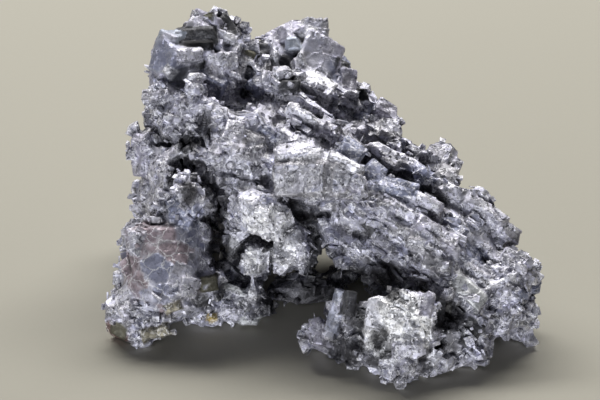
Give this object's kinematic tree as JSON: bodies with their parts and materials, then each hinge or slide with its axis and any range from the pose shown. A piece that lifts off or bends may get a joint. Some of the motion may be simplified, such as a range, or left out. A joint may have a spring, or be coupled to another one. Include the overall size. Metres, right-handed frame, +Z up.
{
  "type": "galena specimen",
  "caption": "Natural lead-grey cluster of intergrown cubic crystals, a wedge that falls from a tall crest to a low end, with a small cave under its front.",
  "frame": {"origin": "centre of the underside of the bounding box, on the plane the feet rest on", "axes": "+X to the right along the front, +Y to the back, +Z up"},
  "size_m": [0.1162, 0.093, 0.0684],
  "materials": {
    "galena": "satin"
  },
  "bodies": {
    "root": {"galena_specimen": "galena"}
  },
  "joints": []
}
